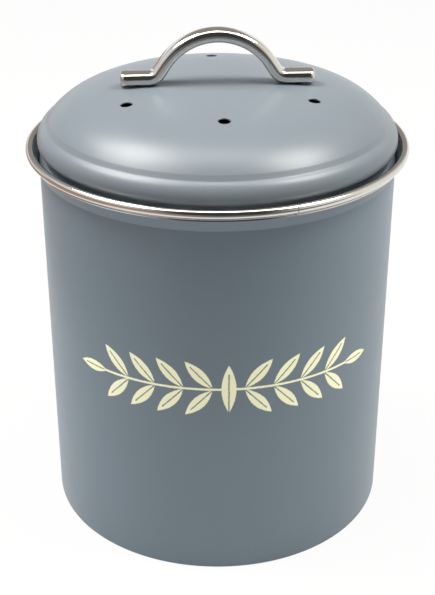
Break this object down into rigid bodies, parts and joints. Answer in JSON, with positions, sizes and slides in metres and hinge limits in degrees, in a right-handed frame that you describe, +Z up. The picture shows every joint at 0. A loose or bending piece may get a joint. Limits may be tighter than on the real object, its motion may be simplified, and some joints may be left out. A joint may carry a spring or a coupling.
{
  "type": "compost caddy",
  "caption": "Round steel compost caddy with a vented domed lid that lifts off by its bow handle, and a charcoal filter in a twist-out tray under the lid.",
  "frame": {"origin": "middle of the underside, at the height of the table", "axes": "+Z up along the bin's axis, -Y towards the front, +X to the right along the handle when seen from the front"},
  "size_m": [0.1928, 0.1928, 0.2584],
  "materials": {
    "powder_coat": "satin",
    "polished_steel": "polished",
    "fastener_steel": "satin",
    "moulded_plastic": "matte",
    "charcoal_felt": "matte"
  },
  "bodies": {
    "bin": {"body_shell": "powder_coat", "base_pan": "powder_coat", "rim_ring": "polished_steel"},
    "lid": {"lid_dome": "powder_coat", "lid_neck": "powder_coat", "handle": "polished_steel", "handle_screws": "fastener_steel", "handle_washers": "fastener_steel", "filter_housing": "moulded_plastic"},
    "tray": {"filter_tray": "moulded_plastic", "charcoal_filter": "charcoal_felt"}
  },
  "joints": [
    {"name": "lid_lift", "type": "slide", "parent": "bin", "child": "lid", "axis": [0, 0, 1], "range_m": [0, 0.12]},
    {"name": "tray_twist", "type": "hinge", "parent": "lid", "child": "tray", "pos_m": [0, 0, 0.208], "axis": [0, 0, 1], "range_deg": [-22, 0]}
  ]
}
